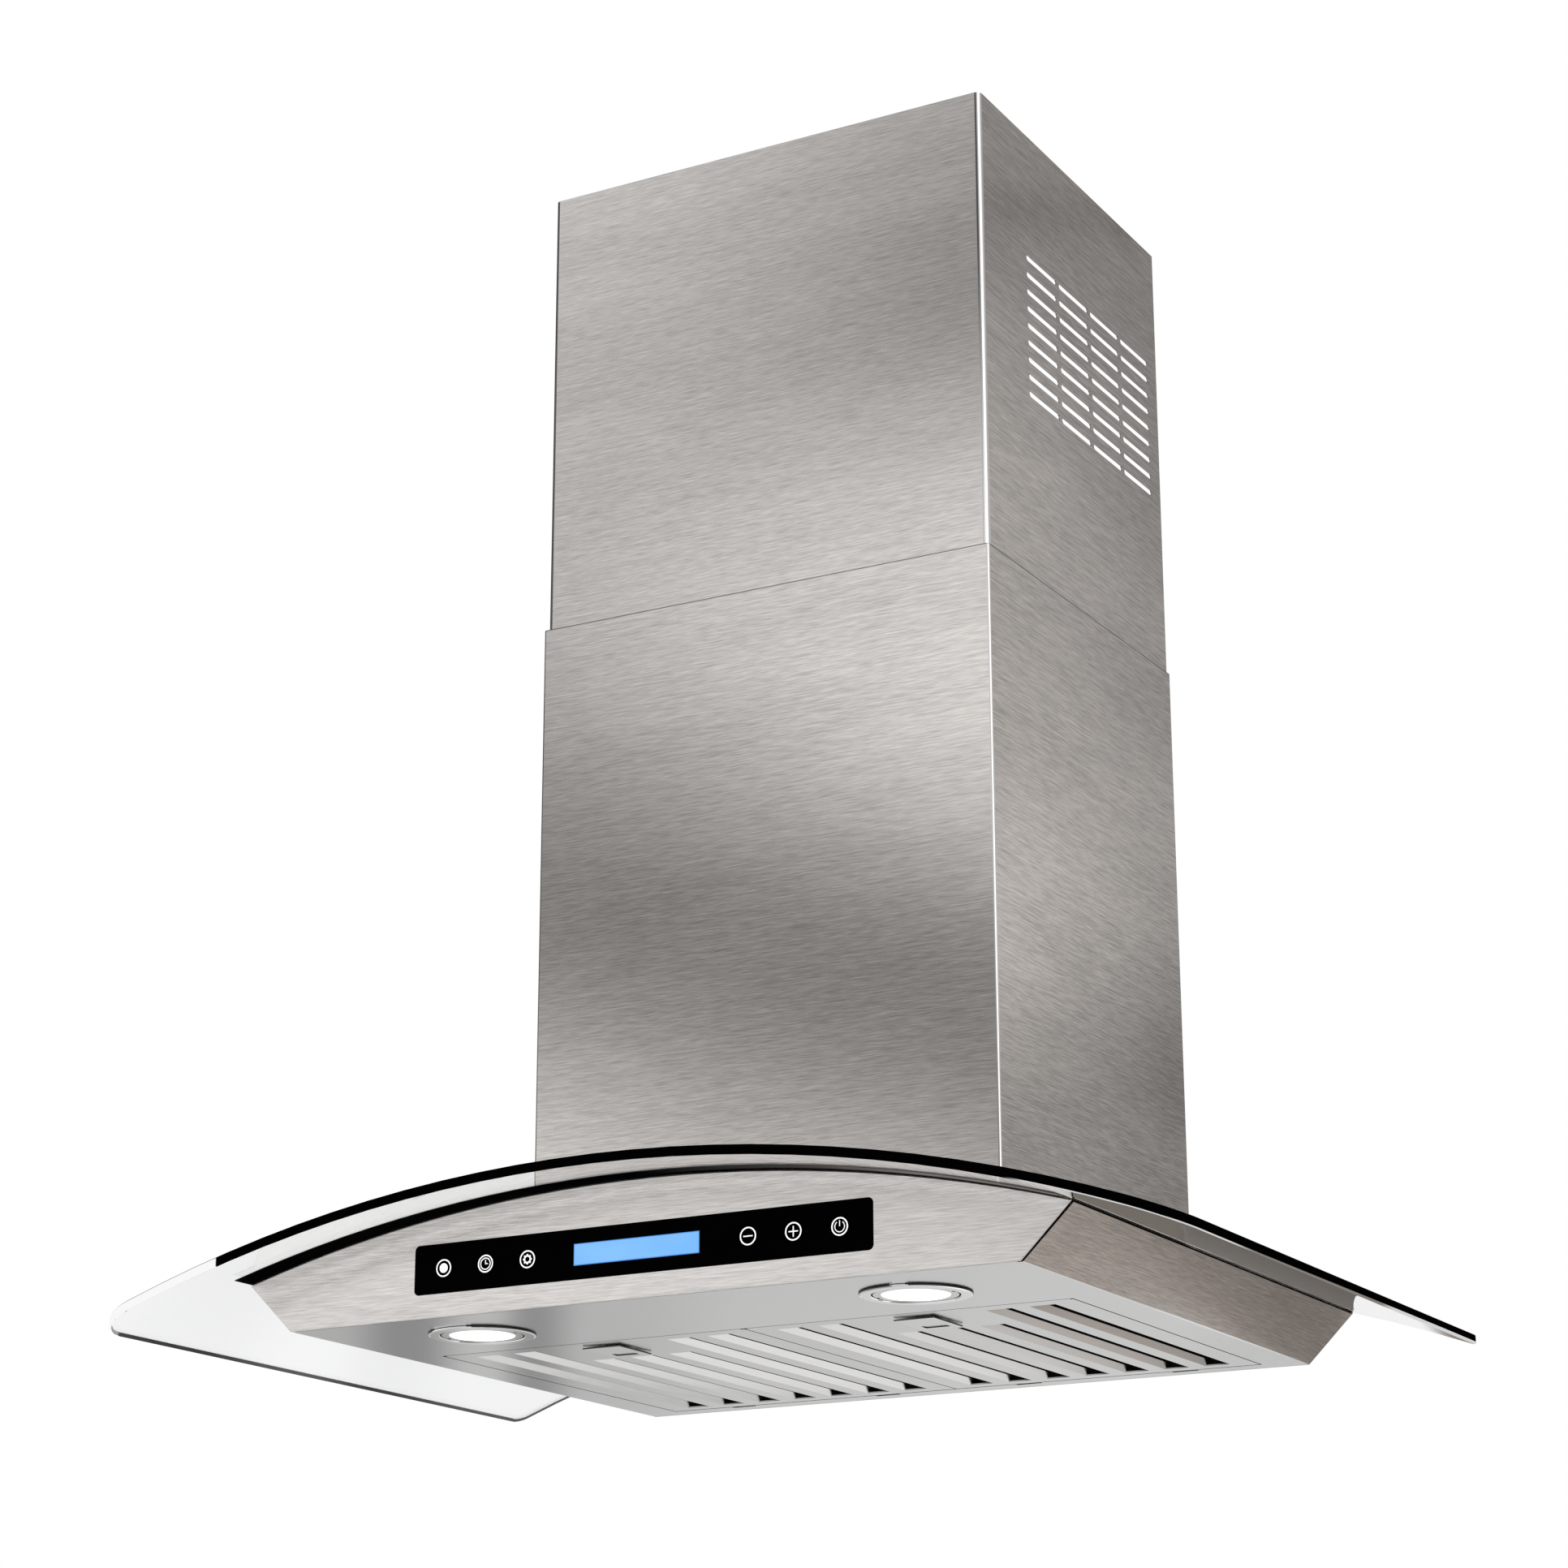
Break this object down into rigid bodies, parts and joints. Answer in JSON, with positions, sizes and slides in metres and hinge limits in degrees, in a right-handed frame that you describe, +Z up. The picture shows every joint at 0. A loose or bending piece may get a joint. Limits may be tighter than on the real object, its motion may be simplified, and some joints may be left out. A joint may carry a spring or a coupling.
{
  "type": "wall mount range hood",
  "caption": "Wall-mounted range hood: telescoping steel chimney over an arched clear glass canopy and a slim body with touch controls, baffle grease filters and round lamps.",
  "frame": {"origin": "middle of the lower back edge, on the wall plane: y = 0 is the wall, z = 0 the flat underside of the hood", "axes": "+X to the right as seen from the front, +Y into the wall, so the front faces -Y, +Z up"},
  "size_m": [0.75, 0.5011, 0.8385],
  "materials": {
    "brushed_steel": "brushed stainless steel, horizontal grain, satin",
    "satin_steel": "fine satin stainless steel",
    "filter_steel": "satin stainless steel, folded sheet",
    "galvanised": "galvanised sheet, spangled",
    "zinc_fastener": "zinc plated",
    "spring_steel": "drawn spring wire",
    "clear_glass": "clear tempered glass, polished edge",
    "black_gloss": "gloss black",
    "seal_rubber": "black rubber",
    "display_blue": "lit blue display window",
    "lamp_trim": "satin chrome",
    "lamp_ring": "frosted light grey",
    "lamp_lens": "opal white, lit",
    "lamp_can": "die cast aluminium",
    "black_plastic": "moulded black plastic",
    "white_plastic": "moulded white plastic",
    "circuit_board": "green solder resist",
    "motor_paint": "black motor enamel",
    "fan_aluminium": "stamped aluminium",
    "capacitor": "drawn aluminium can"
  },
  "bodies": {
    "hood": {"canopy_shell": "satin_steel", "front_fascia": "brushed_steel", "back_panel": "galvanised", "top_deck": "satin_steel", "side_seals": "seal_rubber", "front_strip": "black_gloss", "glass_canopy": "clear_glass", "chimney_lower": "brushed_steel", "chimney_clips": "galvanised", "blower_box": "galvanised", "blower_brackets": "galvanised", "blower_screws": "zinc_fastener", "fan_scroll": "galvanised", "motor": "motor_paint", "motor_bracket": "galvanised", "motor_screws": "zinc_fastener", "run_capacitor": "capacitor", "terminal_box": "white_plastic", "cable_gland": "black_plastic", "duct_collar": "black_plastic", "collar_screws": "zinc_fastener", "damper_pin": "spring_steel", "touch_panel": "black_gloss", "display_window": "display_blue", "control_housing": "black_plastic", "control_board": "circuit_board", "lamp_driver": "white_plastic", "lamp_trim_left": "lamp_trim", "lamp_ring_left": "lamp_ring", "lamp_lens_left": "lamp_lens", "lamp_can_left": "lamp_can", "lamp_trim_right": "lamp_trim", "lamp_ring_right": "lamp_ring", "lamp_lens_right": "lamp_lens", "lamp_can_right": "lamp_can", "lamp_clips": "spring_steel", "filter_rail": "galvanised"},
    "upper_cover": {"chimney_upper": "brushed_steel", "chimney_bracket": "galvanised", "chimney_screws": "zinc_fastener"},
    "left_filter": {"filter_pan_left": "filter_steel", "filter_baffles_left": "filter_steel", "latch_spring_left": "spring_steel"},
    "right_filter": {"filter_pan_right": "filter_steel", "filter_baffles_right": "filter_steel", "latch_spring_right": "spring_steel"},
    "left_latch": {"filter_latch_left": "satin_steel"},
    "right_latch": {"filter_latch_right": "satin_steel"},
    "fan": {"fan_wheel": "fan_aluminium", "motor_shaft": "spring_steel"},
    "left_flap": {"damper_flap_left": "fan_aluminium"},
    "right_flap": {"damper_flap_right": "fan_aluminium"}
  },
  "joints": [
    {"name": "cover_slide", "type": "slide", "parent": "hood", "child": "upper_cover", "axis": [0, 0, 1], "range_m": [-0.325, 0.03]},
    {"name": "left_filter_tilt", "type": "hinge", "parent": "hood", "child": "left_filter", "pos_m": [-0.1137, -0.0146, 0.0026], "axis": [1, 0, 0], "range_deg": [0, 55]},
    {"name": "left_latch_slide", "type": "slide", "parent": "left_filter", "child": "left_latch", "axis": [0, 1, 0], "range_m": [0, 0.006], "stiffness_N_per_m": 350, "springref_m": -0.006, "deforming": ["latch_spring_left"]},
    {"name": "right_filter_tilt", "type": "hinge", "parent": "hood", "child": "right_filter", "pos_m": [0.1137, -0.0146, 0.0026], "axis": [1, 0, 0], "range_deg": [0, 55]},
    {"name": "right_latch_slide", "type": "slide", "parent": "right_filter", "child": "right_latch", "axis": [0, 1, 0], "range_m": [0, 0.006], "stiffness_N_per_m": 350, "springref_m": -0.006, "deforming": ["latch_spring_right"]},
    {"name": "fan_spin", "type": "hinge", "parent": "hood", "child": "fan", "pos_m": [0, -0.16, 0.178], "axis": [1, 0, 0], "continuous": true},
    {"name": "left_flap_swing", "type": "hinge", "parent": "hood", "child": "left_flap", "pos_m": [0, -0.16, 0.312], "axis": [0, 1, 0], "range_deg": [0, 75]},
    {"name": "right_flap_swing", "type": "hinge", "parent": "hood", "child": "right_flap", "pos_m": [0, -0.16, 0.312], "axis": [0, -1, 0], "range_deg": [0, 75]}
  ]
}
